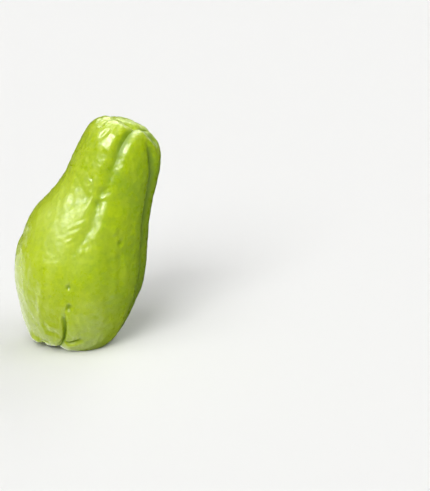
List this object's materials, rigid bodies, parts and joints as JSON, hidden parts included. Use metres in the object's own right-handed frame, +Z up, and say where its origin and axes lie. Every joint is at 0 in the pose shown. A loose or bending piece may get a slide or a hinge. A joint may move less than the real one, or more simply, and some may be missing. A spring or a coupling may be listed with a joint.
{
  "type": "chayote",
  "caption": "Whole pear-shaped chayote fruit with lobed, furrowed green skin, standing on its blossom end with a slight lean; for food displays and produce scenes.",
  "frame": {"origin": "on the flattened base that the fruit rests on, straight under its centre of mass", "axes": "+Z up, from the resting base to the stem end; +X the side that the stem end leans to; -Y the front with the slit at the blossom end"},
  "size_m": [0.0885, 0.0752, 0.1394],
  "materials": {
    "skin": null
  },
  "bodies": {
    "root": {"fruit": "skin"}
  },
  "joints": []
}
